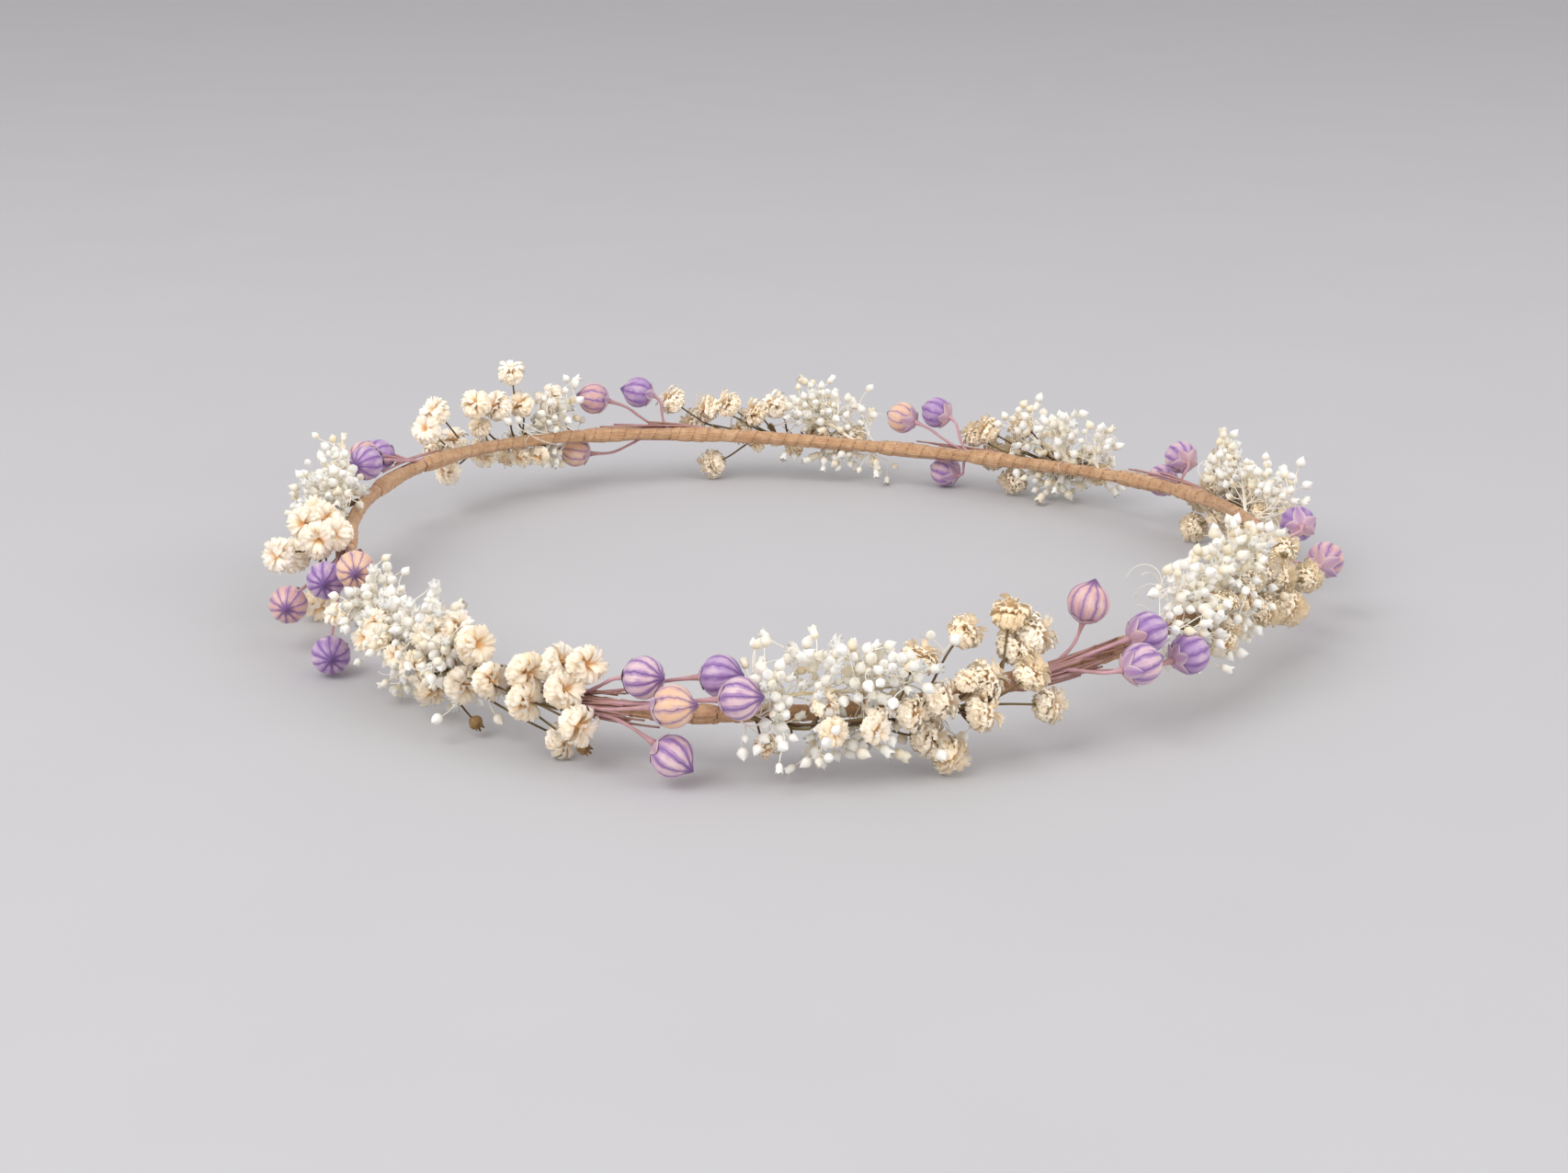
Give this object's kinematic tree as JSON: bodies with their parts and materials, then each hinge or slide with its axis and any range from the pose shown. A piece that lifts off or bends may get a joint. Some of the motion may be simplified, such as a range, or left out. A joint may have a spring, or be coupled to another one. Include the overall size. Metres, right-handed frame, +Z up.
{
  "type": "flower crown",
  "caption": "Open wire hoop for the head, wound with paper tape that binds dried flax bolls, bleached sprigs and double gypsophila around its outside.",
  "frame": {"origin": "middle of the head opening, on the surface that the crown lies on", "axes": "+Z up through the head opening, -Y to the front, +X to the wearer's left hand side when the front faces forward"},
  "size_m": [0.2225, 0.2148, 0.0356],
  "materials": {
    "green_wire": "satin lacquered florist's wire",
    "paper_tape": "matt crinkled paper",
    "flax_boll": "dry ribbed seed case, matt",
    "bleached_sprig": "dry bleached plant, matt",
    "gypsophila": "dry petals, matt"
  },
  "bodies": {
    "root": {"flax_boll_1_1": "flax_boll", "flax_boll_1_2": "flax_boll", "flax_boll_1_3": "flax_boll", "flax_boll_1_4": "flax_boll", "flax_boll_2_1": "flax_boll", "flax_boll_2_2": "flax_boll", "flax_boll_2_3": "flax_boll", "flax_boll_2_4": "flax_boll", "flax_boll_2_5": "flax_boll", "flax_boll_3_1": "flax_boll", "flax_boll_3_2": "flax_boll", "flax_boll_3_3": "flax_boll", "flax_boll_3_4": "flax_boll", "flax_boll_4_1": "flax_boll", "flax_boll_4_2": "flax_boll", "flax_boll_4_3": "flax_boll", "flax_boll_5_1": "flax_boll", "flax_boll_5_2": "flax_boll", "flax_boll_6_1": "flax_boll", "flax_boll_6_2": "flax_boll", "flax_boll_6_3": "flax_boll", "flax_boll_7_1": "flax_boll", "flax_boll_7_2": "flax_boll", "flax_boll_7_3": "flax_boll", "flax_boll_8_1": "flax_boll", "flax_boll_8_2": "flax_boll", "flax_boll_8_3": "flax_boll", "flax_tape_1": "paper_tape", "flax_tape_2": "paper_tape", "flax_tape_3": "paper_tape", "flax_tape_4": "paper_tape", "flax_tape_5": "paper_tape", "flax_tape_6": "paper_tape", "flax_tape_7": "paper_tape", "flax_tape_8": "paper_tape", "gypsophila_1": "gypsophila", "gypsophila_2": "gypsophila", "gypsophila_3": "gypsophila", "gypsophila_4": "gypsophila", "gypsophila_5": "gypsophila", "gypsophila_6": "gypsophila", "gypsophila_7": "gypsophila", "gypsophila_8": "gypsophila", "hoop_wire": "green_wire", "spray_tape_1": "paper_tape", "spray_tape_2": "paper_tape", "spray_tape_3": "paper_tape", "spray_tape_4": "paper_tape", "spray_tape_5": "paper_tape", "spray_tape_6": "paper_tape", "spray_tape_7": "paper_tape", "spray_tape_8": "paper_tape", "white_sprig_1": "bleached_sprig", "white_sprig_2": "bleached_sprig", "white_sprig_3": "bleached_sprig", "white_sprig_4": "bleached_sprig", "white_sprig_5": "bleached_sprig", "white_sprig_6": "bleached_sprig", "white_sprig_7": "bleached_sprig", "white_sprig_8": "bleached_sprig"}
  },
  "joints": []
}
